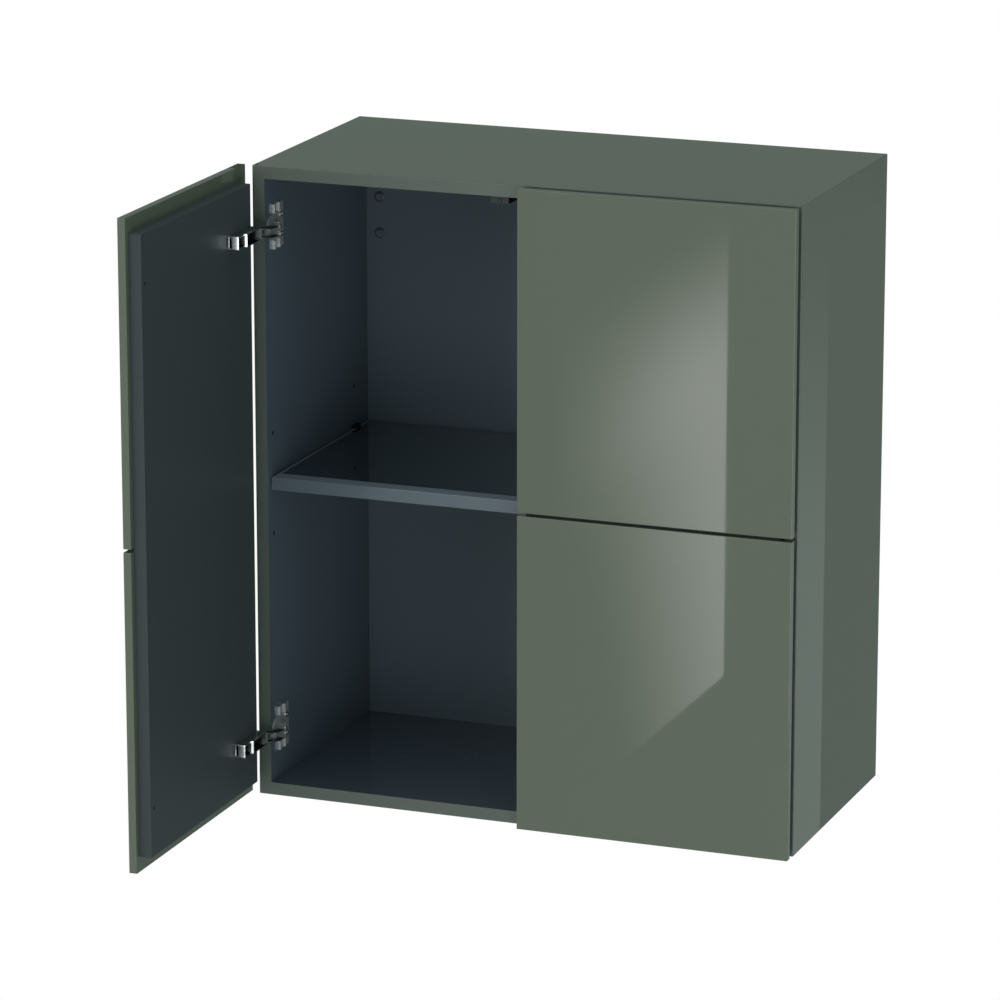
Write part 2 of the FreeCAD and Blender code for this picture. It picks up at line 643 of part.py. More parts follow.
def save_doors():
    """Both doors and their elbows: the left door open, as at rest, and the right one shut."""
    middle = HEIGHT / 2
    link_screws = [link_screw(p) for z in HINGE_HEIGHTS for p in link_screw_places(z)]
    door = {
        "front_upper": [door_front(middle + GROOVE / 2, HEIGHT - FRONT_REVEAL)],
        "front_lower": [door_front(FRONT_REVEAL, middle - GROOVE / 2)],
        "inner_panel": [inner_panel()],
        "hinge_links": [hinge_link(z) for z in HINGE_HEIGHTS],
        "link_screws": link_screws,
    }
    for node, solids in door.items():
        save("door_left_" + node, opened(solids))
        save("door_right_" + node, mirrored(solids))
    elbows = [hinge_elbow(z) for z in HINGE_HEIGHTS]
    save("hinge_elbows_left", opened(elbows, ELBOW_SHARE))
    save("hinge_elbows_right", mirrored(elbows))


def main():
    os.makedirs("parts", exist_ok=True)
    save_carcass()
    save_fixed_hinge_parts()
    save_latches()
    save_doors()


main()
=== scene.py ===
import bmesh
import bpy
import json
import math
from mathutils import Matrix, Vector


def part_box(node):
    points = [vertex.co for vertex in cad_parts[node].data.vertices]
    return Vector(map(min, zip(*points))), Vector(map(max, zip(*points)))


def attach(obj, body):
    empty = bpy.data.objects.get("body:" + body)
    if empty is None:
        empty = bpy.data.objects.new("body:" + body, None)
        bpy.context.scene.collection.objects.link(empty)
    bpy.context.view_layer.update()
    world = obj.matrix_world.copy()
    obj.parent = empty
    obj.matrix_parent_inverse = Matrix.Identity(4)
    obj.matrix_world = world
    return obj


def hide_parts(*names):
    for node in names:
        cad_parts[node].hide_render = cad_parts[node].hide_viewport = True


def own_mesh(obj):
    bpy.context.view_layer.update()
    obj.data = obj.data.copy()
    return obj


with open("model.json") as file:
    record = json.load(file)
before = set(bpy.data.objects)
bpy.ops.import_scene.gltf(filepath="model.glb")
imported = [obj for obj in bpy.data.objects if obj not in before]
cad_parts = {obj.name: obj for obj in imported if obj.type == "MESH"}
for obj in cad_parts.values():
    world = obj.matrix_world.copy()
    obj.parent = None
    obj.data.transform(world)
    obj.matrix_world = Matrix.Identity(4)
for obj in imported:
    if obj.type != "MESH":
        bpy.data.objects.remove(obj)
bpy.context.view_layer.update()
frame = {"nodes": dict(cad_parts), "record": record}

# Metres, in the cabinet's own frame: the origin is the centre of the wall face, the fronts face -Y.

# Faces of the carcass, each moved in by half a millimetre, so that a face lies past its own limit
OUTER_X = 0.3495
OUTER_Z = 0.3995
FRONT_EDGE_Y = 0.3415
# Half a millimetre into the side boards, where only holes show
HOLE_X = 0.3345
# Just under the top of the shelf
SHELF_RIM_Z = 0.0078

# Colours of the finishes, linear, each from its darkest spots to its palest
GREEN = ((0.073, 0.096, 0.066, 1), (0.075, 0.098, 0.068, 1))
# Front edges of the carcass: a darker green than the gloss, painted shade
PAINTED_SHADE_EDGE_GREEN = ((0.044, 0.062, 0.050, 1), (0.046, 0.064, 0.052, 1))
GRAPHITE = ((0.034, 0.046, 0.049, 1), (0.036, 0.048, 0.051, 1))
SLATE = ((0.061, 0.086, 0.108, 1), (0.063, 0.089, 0.111, 1))
# Back board: the slate made darker, painted shade
PAINTED_SHADE_BACK_SLATE = ((0.054, 0.076, 0.095, 1), (0.056, 0.079, 0.098, 1))
# Top faces of the shelf's rim and lip: a paler slate, painted light
PAINTED_LIGHT_RIM = ((0.195, 0.260, 0.300, 1), (0.200, 0.266, 0.307, 1))
DARK_MIRROR = ((0.38, 0.42, 0.44, 1), (0.40, 0.44, 0.46, 1))
# Inside the side boards, where the pin holes are: nearly black, painted shade
PAINTED_HOLE_SHADE = ((0.008, 0.008, 0.008, 1), (0.012, 0.011, 0.010, 1))
CAP_SLATE = ((0.040, 0.056, 0.071, 1), (0.044, 0.061, 0.077, 1))
NICKEL = ((0.62, 0.66, 0.65, 1), (0.66, 0.70, 0.69, 1))
CAST_ZINC = ((0.29, 0.32, 0.32, 1), (0.32, 0.35, 0.35, 1))
# Dark steel of the hinge elbows; inside the hinge channels' recesses it is painted shade
DARK_STEEL_AND_SHADE = ((0.022, 0.026, 0.026, 1), (0.030, 0.035, 0.035, 1))
ZINC = ((0.42, 0.43, 0.43, 1), (0.55, 0.56, 0.56, 1))
STOP_BLACK = ((0.004, 0.004, 0.005, 1), (0.006, 0.006, 0.007, 1))
LATCH_GREY = ((0.020, 0.026, 0.028, 1), (0.024, 0.031, 0.033, 1))

# Roughness of the finishes, each from its smoothest spots to its roughest
GLOSS = (0.010, 0.022)
HALF_GLOSS = (0.11, 0.15)
EDGE_SATIN = (0.36, 0.44)
BACK_SATIN = (0.42, 0.48)
PANEL_MATT = (0.42, 0.52)
SHELF_SATIN = (0.17, 0.22)
MIRROR_POLISH = (0.03, 0.06)
CAST_SATIN = (0.32, 0.40)
HINGE_POLISH = (0.15, 0.20)
DARK_STEEL_SATIN = (0.30, 0.40)
PIN_SATIN = (0.20, 0.35)
SCREW_SATIN = (0.18, 0.32)
SPRING_SATIN = (0.25, 0.35)
CAP_SATIN = (0.22, 0.30)
PLUNGER_SATIN = (0.30, 0.42)
PLASTIC_MATT = (0.40, 0.52)

# Strength of the finishes' mirror light
BACK_SHINE = 0.15
PANEL_SHINE = 0.12
CAP_SHINE = 0.20
STOP_SHINE = 0.06
LATCH_SHINE = 0.15

# Share of bare metal in the look of the cast parts
CAST_METAL = 0.55

# Patterns on the finishes: waves to the metre, and how many finer levels they have
LACQUER_CLOUD = (2.5, 3)
LACQUER_FLOW = (35, 4)
LACQUER_WAVE = (60, 2)
INSIDE_FLOW = (40, 3)
EDGE_GRAIN = (300, 4)
LAMINATE_GRAIN = (900, 3)
LAMINATE_FLOW = (500, 4)
LAMINATE_PORES = (700, 2)
SHELF_CLOUD = (4, 3)
SHELF_WAVE = (400, 2)
MIRROR_CLOUD = (6, 3)
MIRROR_FLOW = (25, 5)
MIRROR_WAVE = (120, 2)
DRAWING_MARKS = (1500, 2)
PLATING_CLOUD = (60, 4)
CASTING_GRAIN = (1200, 3)
CASTING_CLOUD = (90, 3)
PLASTIC_CLOUD = (200, 3)
PLASTIC_FLOW = (900, 3)
PLASTIC_GRAIN = (1800, 3)

# How much closer together a pattern lies along each axis
EVEN = (1, 1, 1)
LEVEL_MARKS = (1, 1, 6)
MARKS_ALONG_X = (1, 8, 8)

# Depth of a surface's relief
FINE_RELIEF = 0.00001
PLASTIC_RELIEF = 0.00002

# Hinge channels on the doors' inner panels
CHANNEL_DEPTH = 0.0155
CHANNEL_HEIGHT = 0.0164
CHANNEL_SHEET = 0.0016
CHEEK_LENGTH = 0.0072
TIP_LENGTH = 0.020
TIP_DEPTH = 0.0129
TROUGH_DEPTH = 0.005
WINDOW_FROM_END = 0.003
WINDOW_DEPTH = 0.009
MOUTH_FLOOR = 0.0006
MOUTH_HEIGHT = 0.0038
MOUTH_DEPTH = 0.012
SHEET_EDGE = 0.0003
SHEET_EDGE_STEPS = 2
SHEET_SMOOTH_ANGLE = 40
# Margin for telling which face lies on which plane, and how far a normal leans along its axis
FACE_MARGIN = 0.00001
FACING = 0.5

# Springs behind the latch plungers
SPRING_COIL_RADIUS = 0.0021
SPRING_WIRE_RADIUS = 0.00035
SPRING_TURNS = 9
SPRING_STEPS = 16
SPRING_WIRE_SIDES = 8
SPRING_SMOOTH_ANGLE = 60

# Camera of the photograph; angles in degrees, lens and sensor in millimetres
CAMERA_PLACE = (2.1686, -6.1066, 1.6432)
CAMERA_TURN = 20.86
CAMERA_DIP = 14.83
CAMERA_LENS = 189.7
CAMERA_REACH = 100
SENSOR = 36.0

# Room and floor; from the near distance to the far one, the floor's shadow fades to white
WHITE = (1, 1, 1, 1)
ROOM_TINT = (0.90, 0.98, 1.0, 1)
ROOM_LIGHT = 0.55
FLOOR_GREY = (0.85, 0.85, 0.85, 1)
FLOOR_ROUGHNESS = 0.9
FLOOR_Z = -1.29
FLOOR_HALF = 14.0
SHADOW_NEAR = 0.8
SHADOW_FAR = 1.3

# Turns of the studio's planes, in degrees
FLAT = (0, 0, 0)
UPRIGHT = (90, 0, 0)
UPRIGHT_SIDEWAYS = (90, 0, 90)

# Cards that show in reflections only
WALL_Y = 0.06
WALL_END_X = 0.441
WALL_HALF = 3.0
WALL_TINT = (0.85, 1.0, 0.98, 1)
WALL_FADE_Z = (0.41, 0.30)
WALL_GLOW = (0.23, 0.28)
PANEL_HALF_WIDTH = 1.5
PANEL_FADE_Z = (0.33, -0.20)
PANEL_GLOW = (0.28, 0.49)
FLAG_PLACE = (-1.515, 0.055, -0.26)
FLAG_HALF_WIDTH = 1.0
FLAG_HALF_HEIGHT = 0.75
FLAG_GLOW = 0.003
CARD_PLACE = (0.15, -2.5, -0.25)
CARD_HALF_WIDTH = 0.45
CARD_HALF_HEIGHT = 0.65
CARD_TINT = (0.94, 1.0, 1.0, 1)
CARD_GLOW = 6.0
SOFTBOX_X = -0.9
SOFTBOX_NEAR_Y = -3.885
SOFTBOX_FAR_Y = -2.95
SOFTBOX_TOP_Z = -0.36
SOFTBOX_FULL_Z = -0.69
SOFTBOX_BEND_Z = -0.70
SOFTBOX_LEAN_Z = -0.86
SOFTBOX_BEND = 0.45
SOFTBOX_GLOW = 3.4

# Lamps: place, width, power in watts and colour
WARM = (1.0, 0.97, 0.93)
MILD = (1.0, 0.98, 0.95)
LAMPS = {
    "front_lamp": ((-1.5, -4.5, 1.9), 2.5, 68, WARM),
    "right_lamp": ((2.5, -3.2, -0.7), 1.6, 40, MILD),
    "low_lamp": ((-0.2, -4.4, -0.7), 1.0, 8, MILD),
    "top_lamp": ((0.4, 0.3, 3.6), 2.0, 26, MILD),
}


def add_node(tree, kind, values=None):
    """New shader node with input sockets set by name."""
    made = tree.nodes.new("ShaderNode" + kind)
    for socket, value in (values or {}).items():
        made.inputs[socket].default_value = value
    return made


def start_finish(name):
    """Material with a principled shader; gives the material, its tree and that shader."""
    material = bpy.data.materials.new(name)
    material.use_nodes = True
    tree = material.node_tree
    return material, tree, tree.nodes["Principled BSDF"]


def places(tree, closeness=EVEN):
    """Object coordinates, scaled along the axes."""
    coordinates = add_node(tree, "TexCoord")
    mapping = add_node(tree, "Mapping", {"Scale": closeness})
    tree.links.new(coordinates.outputs["Object"], mapping.inputs["Vector"])
    return mapping.outputs["Vector"]


def mottle(tree, pattern, closeness=EVEN):
    """Soft noise between 0 and 1."""
    scale, detail = pattern
    noise = add_node(tree, "TexNoise", {"Scale": scale, "Detail": detail})
    tree.links.new(places(tree, closeness), noise.inputs["Vector"])
    spread = add_node(tree, "MapRange", {"From Min": 0.3, "From Max": 0.7})
    tree.links.new(noise.outputs["Fac"], spread.inputs["Value"])
    return spread.outputs["Result"]


def between(tree, share, ends):
    """A number that follows a 0 to 1 share between two ends."""
    low, high = ends
    stretch = add_node(tree, "MapRange", {"To Min": low, "To Max": high})
    tree.links.new(share, stretch.inputs["Value"])
    return stretch.outputs["Result"]


def tint(tree, share, shades):
    """A colour that follows a 0 to 1 share between two shades."""
    ramp = add_node(tree, "ValToRGB")
    for stop, shade in zip(ramp.color_ramp.elements, shades):
        stop.color = shade
    tree.links.new(share, ramp.inputs["Fac"])
    return ramp.outputs["Color"]


def paint(tree, shader, pattern, shades):
    """Give the shader a colour that varies between two shades."""
    tree.links.new(tint(tree, mottle(tree, pattern), shades), shader.inputs["Base Color"])


def polish(tree, shader, share, ends):
    """Give the shader a roughness that follows a 0 to 1 share between two ends."""
    tree.links.new(between(tree, share, ends), shader.inputs["Roughness"])


def relief(tree, shader, height, strength, depth=FINE_RELIEF):
    """Surface relief of a given depth in metres."""
    bump = add_node(tree, "Bump", {"Strength": strength, "Distance": depth})
    tree.links.new(height, bump.inputs["Height"])
    tree.links.new(bump.outputs["Normal"], shader.inputs["Normal"])


def number(tree, operation, first, second):
    """Arithmetic on a socket and a fixed number, or on two sockets."""
    made = tree.nodes.new("ShaderNodeMath")
    made.operation = operation
    for socket, value in zip(made.inputs, (first, second)):
        if isinstance(value, bpy.types.NodeSocket):
            tree.links.new(value, socket)
        else:
            socket.default_value = value
    return made.outputs["Value"]


def axes_of(tree, vector):
    """Outputs X, Y and Z of a vector."""
    axes = add_node(tree, "SeparateXYZ")
    tree.links.new(vector, axes.inputs["Vector"])
    return axes.outputs


def carcass_zones(tree):
    """Three numbers, each 1 in its zone: outer faces, front edges, and holes in the sides, where painted
    shade goes.
    """
    axes = axes_of(tree, places(tree))
    sideways = number(tree, "ABSOLUTE", axes["X"], 0)
    upward = number(tree, "ABSOLUTE", axes["Z"], 0)
    forward = number(tree, "MULTIPLY", axes["Y"], -1)
    past_side = number(tree, "SUBTRACT", sideways, OUTER_X)
    past_end = number(tree, "SUBTRACT", upward, OUTER_Z)
    outer = number(tree, "GREATER_THAN", number(tree, "MAXIMUM", past_side, past_end), 0)
    front = number(tree, "GREATER_THAN", forward, FRONT_EDGE_Y)
    holes = number(tree, "GREATER_THAN", sideways, HOLE_X)
    return outer, front, holes


def blend(tree, kind, share, inner, outer):
    """The inner colour or number where the share is 0, and the outer one where it is 1."""
    mix = tree.nodes.new("ShaderNodeMix")
    mix.data_type = kind
    tree.links.new(share, mix.inputs["Factor"])
    tree.links.new(inner, mix.inputs["A"])
    tree.links.new(outer, mix.inputs["B"])
    return mix.outputs["Result"]


def gloss_lacquer():
    """High-gloss grey-green lacquer of the door fronts."""
    material, tree, shader = start_finish("gloss_lacquer")
    paint(tree, shader, LACQUER_CLOUD, GREEN)
    polish(tree, shader, mottle(tree, LACQUER_FLOW), GLOSS)
    relief(tree, shader, mottle(tree, LACQUER_WAVE), strength=0.008)
    return material


def carcass_lacquer():
    """Carcass boards: green gloss lacquer outside; front edges satin, in a darker green that is painted
    shade; half-gloss slate inside.
    """
    material, tree, shader = start_finish("carcass_lacquer")
    outer, front, holes = carcass_zones(tree)
    green = tint(tree, mottle(tree, LACQUER_CLOUD), GREEN)
    edge_painted_shade = tint(tree, mottle(tree, LACQUER_CLOUD), PAINTED_SHADE_EDGE_GREEN)
    slate = tint(tree, mottle(tree, LAMINATE_GRAIN), SLATE)
    # Nearly black in the holes of the sides, painted shade
    hole_shade = tint(tree, mottle(tree, LAMINATE_GRAIN), PAINTED_HOLE_SHADE)
    inner = blend(tree, "RGBA", holes, slate, hole_shade)
    # The front edges take the darker green, painted shade
    inner = blend(tree, "RGBA", front, inner, edge_painted_shade)
    tree.links.new(blend(tree, "RGBA", outer, inner, green), shader.inputs["Base Color"])
    gloss = between(tree, mottle(tree, LACQUER_FLOW), GLOSS)
    satin = between(tree, mottle(tree, EDGE_GRAIN), EDGE_SATIN)
    half_gloss = between(tree, mottle(tree, INSIDE_FLOW), HALF_GLOSS)
    inside = blend(tree, "FLOAT", front, half_gloss, satin)
    tree.links.new(blend(tree, "FLOAT", outer, inside, gloss), shader.inputs["Roughness"])
    relief(tree, shader, mottle(tree, LACQUER_WAVE), strength=0.008)
    return material


def satin_slate():
    """Fine-grained satin laminate of the back board, in a darker slate than the sides: painted shade."""
    material, tree, shader = start_finish("satin_slate")
    shader.inputs["Specular IOR Level"].default_value = BACK_SHINE
    paint(tree, shader, LAMINATE_GRAIN, PAINTED_SHADE_BACK_SLATE)
    polish(tree, shader, mottle(tree, LAMINATE_FLOW), BACK_SATIN)
    relief(tree, shader, mottle(tree, LAMINATE_PORES), strength=0.06)
    return material


def matt_graphite():
    """Matt laminate of the doors' inner panels."""
    material, tree, shader = start_finish("matt_graphite")
    shader.inputs["Specular IOR Level"].default_value = PANEL_SHINE
    paint(tree, shader, LAMINATE_GRAIN, GRAPHITE)
    polish(tree, shader, mottle(tree, LAMINATE_FLOW), PANEL_MATT)
    relief(tree, shader, mottle(tree, LAMINATE_PORES), strength=0.08)
    return material


def slate_lacquer():
    """Slate lacquer of the shelf board; the rim round its plate is a paler slate, painted light."""
    material, tree, shader = start_finish("slate_lacquer")
    rim = number(tree, "GREATER_THAN", axes_of(tree, places(tree))["Z"], SHELF_RIM_Z)
    board_slate = tint(tree, mottle(tree, SHELF_CLOUD), SLATE)
    # The rim's top faces take the paler slate, painted light
    rim_painted_light = tint(tree, mottle(tree, SHELF_CLOUD), PAINTED_LIGHT_RIM)
    tree.links.new(blend(tree, "RGBA", rim, board_slate, rim_painted_light), shader.inputs["Base Color"])
    polish(tree, shader, mottle(tree, INSIDE_FLOW), SHELF_SATIN)
    relief(tree, shader, mottle(tree, SHELF_WAVE), strength=0.02)
    return material


def dark_mirror():
    """Polished plate in the shelf, as dark as the inside that it mirrors."""
    material, tree, shader = start_finish("dark_mirror")
    shader.inputs["Metallic"].default_value = 1.0
    paint(tree, shader, MIRROR_CLOUD, DARK_MIRROR)
    polish(tree, shader, mottle(tree, MIRROR_FLOW), MIRROR_POLISH)
    relief(tree, shader, mottle(tree, MIRROR_WAVE), strength=0.05)
    return material


def metal_plating(name, shades, roughness, closeness=EVEN):
    """Plated metal with fine drawing marks."""
    material, tree, shader = start_finish(name)
    shader.inputs["Metallic"].default_value = 1.0
    marks = mottle(tree, DRAWING_MARKS, closeness)
    paint(tree, shader, PLATING_CLOUD, shades)
    polish(tree, shader, marks, roughness)
    relief(tree, shader, marks, strength=0.03)
    return material


def cast_zinc():
    """Die-cast hinge parts with a thin satin plating."""
    material, tree, shader = start_finish("cast_zinc")
    shader.inputs["Metallic"].default_value = CAST_METAL
    grain = mottle(tree, CASTING_GRAIN)
    paint(tree, shader, CASTING_CLOUD, CAST_ZINC)
    polish(tree, shader, grain, CAST_SATIN)
    relief(tree, shader, grain, strength=0.04)
    return material


def moulded_plastic(name, shades, roughness, shine):
    """Moulded plastic with a fine spark-eroded grain."""
    material, tree, shader = start_finish(name)
    shader.inputs["Specular IOR Level"].default_value = shine
    paint(tree, shader, PLASTIC_CLOUD, shades)
    polish(tree, shader, mottle(tree, PLASTIC_FLOW), roughness)
    relief(tree, shader, mottle(tree, PLASTIC_GRAIN), strength=0.3, depth=PLASTIC_RELIEF)
    return material


def select_faces(piece, wanted):
    """In edit mode, select the faces whose centre and normal are wanted."""
    bpy.ops.mesh.select_mode(type="FACE")
    bpy.ops.mesh.select_all(action="DESELECT")
    mesh = bmesh.from_edit_mesh(piece.data)
    for face in mesh.faces:
        if wanted(face.calc_center_median(), face.normal):
            face.select_set(True)
    bmesh.update_edit_mesh(piece.data)


def extrude_faces(piece, wanted, move):
    """In edit mode, extrude the wanted faces by a move."""
    select_faces(piece, wanted)
    bpy.ops.mesh.extrude_region_move(TRANSFORM_OT_translate={"value": move})


def cut_across(axis, distances):
    """In edit mode, cut the whole piece square to an axis at each of several distances along it."""
    for distance in distances:
        bpy.ops.mesh.select_all(action="SELECT")
        bpy.ops.mesh.bisect(plane_co=[distance * part for part in axis], plane_no=axis)


def apply_place():
    """Put the place, turn and scale of the selected piece into its mesh."""
    bpy.ops.object.transform_apply(location=True, rotation=True, scale=True)


def hinge_channel(low, high, nickel, dark):
    """Lower channel of the open left door: cheeks, trough, and a tip with a window and a mouth; dark
    steel in its recesses is painted shade.
    """
    tip = low.y
    step = tip + TIP_LENGTH
    notch = high.y - CHEEK_LENGTH
    middle = low.z + CHANNEL_HEIGHT / 2
    between_cheeks = CHANNEL_HEIGHT / 2 - CHANNEL_SHEET
    window = (tip + WINDOW_FROM_END, step - CHANNEL_SHEET / 2)
    trough = (step + CHANNEL_SHEET, notch - CHANNEL_SHEET)
    place = (low.x + TIP_DEPTH / 2, (tip + notch) / 2, middle)
    size = (TIP_DEPTH, notch - tip, CHANNEL_HEIGHT)
    bpy.ops.object.select_all(action="DESELECT")
    bpy.ops.mesh.primitive_cube_add(size=1, location=place, scale=size)
    piece = bpy.context.object
    apply_place()
    piece.data.materials.append(nickel)
    piece.data.materials.append(dark)
    bpy.ops.object.mode_set(mode="EDIT")
    cut_across((0, 1, 0), window + (step,) + trough)
    cut_across((0, 0, 1), (middle - between_cheeks, middle + between_cheeks))
    cut_across((1, 0, 0), (low.x + MOUTH_FLOOR, low.x + MOUTH_HEIGHT))

    def inside(centre):
        return abs(centre.z - middle) < between_cheeks + FACE_MARGIN

    def in_body(centre, normal):
        return normal.x > FACING and centre.y > step

    def in_trough(centre, normal):
        return normal.x > FACING and inside(centre) and trough[0] < centre.y < trough[1]

    def in_window(centre, normal):
        return normal.x > FACING and inside(centre) and window[0] < centre.y < window[1]

    def in_mouth(centre, normal):
        return normal.y < -FACING and inside(centre) and MOUTH_FLOOR < centre.x - low.x < MOUTH_HEIGHT

    def in_cheeks(centre, normal):
        return normal.y > FACING and centre.y > trough[1] and not inside(centre)

    def in_recess_to_shade(centre, normal):
        depth = TIP_DEPTH if centre.y < step + FACE_MARGIN else CHANNEL_DEPTH
        along = tip + FACE_MARGIN < centre.y < notch - FACE_MARGIN
        return along and inside(centre) and FACE_MARGIN < centre.x - low.x < depth - FACE_MARGIN

    extrude_faces(piece, in_body, (CHANNEL_DEPTH - TIP_DEPTH, 0, 0))
    extrude_faces(piece, in_trough, (-TROUGH_DEPTH, 0, 0))
    extrude_faces(piece, in_window, (-WINDOW_DEPTH, 0, 0))
    extrude_faces(piece, in_mouth, (0, MOUTH_DEPTH, 0))
    extrude_faces(piece, in_cheeks, (0, CHEEK_LENGTH, 0))
    # Faces inside the recesses take the dark steel: painted shade
    select_faces(piece, in_recess_to_shade)
    piece.active_material_index = 1
    bpy.ops.object.material_slot_assign()
    bpy.ops.object.mode_set(mode="OBJECT")
    return piece


def soften_edges(piece):
    """Round the sharp edges of a sheet-metal piece and shade it smooth."""
    bevel = piece.modifiers.new("edge", "BEVEL")
    bevel.width = SHEET_EDGE
    bevel.segments = SHEET_EDGE_STEPS
    bevel.limit_method = "ANGLE"
    bpy.ops.object.modifier_apply(modifier=bevel.name)
    bpy.ops.object.shade_smooth_by_angle(angle=math.radians(SHEET_SMOOTH_ANGLE))


def copy_piece(piece, move):
    """Copy of a piece with its own mesh, moved; the copy is left selected."""
    bpy.ops.object.select_all(action="DESELECT")
    piece.select_set(True)
    bpy.context.view_layer.objects.active = piece
    bpy.ops.object.duplicate()
    bpy.ops.transform.translate(value=move)
    apply_place()
    return bpy.context.object


def hinge_channels(nickel, dark):
    """Channels of both doors, in place of the plainer solids."""
    low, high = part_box("door_left_hinge_links")
    left = hinge_channel(low, high, nickel, dark)
    soften_edges(left)
    upper = copy_piece(left, (0, 0, high.z - low.z - CHANNEL_HEIGHT))
    left.select_set(True)
    upper.select_set(True)
    bpy.context.view_layer.objects.active = left
    bpy.ops.object.join()
    right = copy_piece(left, (0, 0, 0))
    right_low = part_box("door_right_hinge_links")[0]
    # The right door is shut: a half turn about the line x = y lays its channels along X
    right.rotation_mode = "AXIS_ANGLE"
    right.rotation_axis_angle = (math.pi, math.sqrt(0.5), math.sqrt(0.5), 0)
    right.location = (right_low.x - low.y, right_low.y - low.x, right_low.z + high.z)
    apply_place()
    for piece, door in ((left, "door_left"), (right, "door_right")):
        piece.name = door + "_hinge_channels"
        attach(piece, door)
        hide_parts(door + "_hinge_links")


def coil_spring(low, high):
    """Coil of round wire that fills a box, its axis along Y."""
    length = high.y - low.y - 2 * SPRING_WIRE_RADIUS
    bpy.ops.object.select_all(action="DESELECT")
    bpy.ops.mesh.primitive_circle_add(vertices=SPRING_WIRE_SIDES, radius=SPRING_WIRE_RADIUS)
    piece = bpy.context.object
    bpy.ops.object.mode_set(mode="EDIT")
    bpy.ops.mesh.select_all(action="SELECT")
    bpy.ops.transform.translate(value=(SPRING_COIL_RADIUS, 0, 0))
    bpy.ops.object.mode_set(mode="OBJECT")
    coil = piece.modifiers.new("coil", "SCREW")
    coil.axis = "Y"
    coil.iterations = SPRING_TURNS
    coil.screw_offset = length / SPRING_TURNS
    coil.steps = SPRING_STEPS
    coil.render_steps = SPRING_STEPS
    bpy.ops.object.modifier_apply(modifier=coil.name)
    bpy.ops.object.mode_set(mode="EDIT")
    bpy.ops.mesh.select_all(action="SELECT")
    bpy.ops.mesh.fill_holes(sides=0)
    bpy.ops.mesh.normals_make_consistent(inside=False)
    bpy.ops.object.mode_set(mode="OBJECT")
    piece.location = ((low.x + high.x) / 2, low.y + SPRING_WIRE_RADIUS, (low.z + high.z) / 2)
    apply_place()
    bpy.ops.object.shade_smooth_by_angle(angle=math.radians(SPRING_SMOOTH_ANGLE))
    return piece


def latch_springs(steel):
    """Coils for the springs of both latches, in place of their plainer solids."""
    low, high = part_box("latch_spring_left")
    left = coil_spring(low, high)
    left.data.materials.append(steel)
    right = copy_piece(left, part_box("latch_spring_right")[0] - low)
    for piece, side in ((left, "left"), (right, "right")):
        node = "latch_spring_" + side
        piece.name = "latch_coil_" + side
        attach(piece, "carcass")
        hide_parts(node)
        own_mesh(piece)


def make_finishes():
    """Finish of each slot in the record, and the dark steel of the hinge elbows, which also paints shade
    inside the hinge channels.
    """
    return {
        "carcass_lacquer": carcass_lacquer(),
        "front_lacquer": gloss_lacquer(),
        "interior_graphite": satin_slate(),
        "door_graphite": matt_graphite(),
        "shelf_slate": slate_lacquer(),
        "shelf_glass": dark_mirror(),
        "cap_plastic": moulded_plastic("cap_plastic", CAP_SLATE, CAP_SATIN, CAP_SHINE),
        "pin_steel": metal_plating("pin_steel", ZINC, PIN_SATIN, MARKS_ALONG_X),
        "hinge_nickel": metal_plating("hinge_nickel", NICKEL, HINGE_POLISH, LEVEL_MARKS),
        "hinge_cast": cast_zinc(),
        "dark_steel": metal_plating("dark_steel", DARK_STEEL_AND_SHADE, DARK_STEEL_SATIN),
        "stop_plastic": moulded_plastic("stop_plastic", STOP_BLACK, PLASTIC_MATT, STOP_SHINE),
        "screw_steel": metal_plating("screw_steel", ZINC, SCREW_SATIN),
        "latch_plastic": moulded_plastic("latch_plastic", LATCH_GREY, PLASTIC_MATT, LATCH_SHINE),
        "plunger_plastic": moulded_plastic("plunger_plastic", LATCH_GREY, PLUNGER_SATIN, LATCH_SHINE),
        "spring_steel": metal_plating("spring_steel", ZINC, SPRING_SATIN),
    }


def dress_nodes(finishes):
    """Give every CAD node the finish of its slot, and the hinge elbows dark steel."""
    for part in frame["record"]["subparts"]:
        node = frame["nodes"][part["node"]]
        node.data.materials.clear()
        node.data.materials.append(finishes[part["material_slot"]])
    for side in ("left", "right"):
        frame["nodes"]["hinge_elbows_" + side].data.materials[0] = finishes["dark_steel"]


def seen_rays(tree):
    """1 for camera, glossy and transmission rays, which show the white background."""
    path = add_node(tree, "LightPath")
    seen = number(tree, "MAXIMUM", path.outputs["Is Camera Ray"], path.outputs["Is Glossy Ray"])
    return number(tree, "MAXIMUM", seen, path.outputs["Is Transmission Ray"])


def studio_world():
    """White to the eye, and an even cool light on the cabinet."""
    world = bpy.data.worlds.new("studio")
    bpy.context.scene.world = world
    world.use_nodes = True
    tree = world.node_tree
    tree.nodes.clear()
    room = add_node(tree, "Background", {"Color": ROOM_TINT, "Strength": ROOM_LIGHT})
    white = add_node(tree, "Background", {"Color": WHITE, "Strength": 1.0})
    mix = add_node(tree, "MixShader")
    output = add_node(tree, "OutputWorld")
    tree.links.new(seen_rays(tree), mix.inputs["Fac"])
    tree.links.new(room.outputs["Background"], mix.inputs[1])
    tree.links.new(white.outputs["Background"], mix.inputs[2])
    tree.links.new(mix.outputs["Shader"], output.inputs["Surface"])


def stage_plane(name, half_width, half_height, place, turn):
    """Plane of the studio, not a part of the cabinet."""
    bpy.ops.object.select_all(action="DESELECT")
    bpy.ops.mesh.primitive_plane_add(size=2, location=place, rotation=[math.radians(a) for a in turn])
    plane = bpy.context.object
    plane.name = name
    plane.scale = (half_width, half_height, 1)
    return plane


def only_in_reflections(plane):
    """Let a studio card show in gloss and metal only."""
    plane.visible_camera = False
    plane.visible_diffuse = False
    plane.visible_shadow = False
    plane.visible_transmission = False


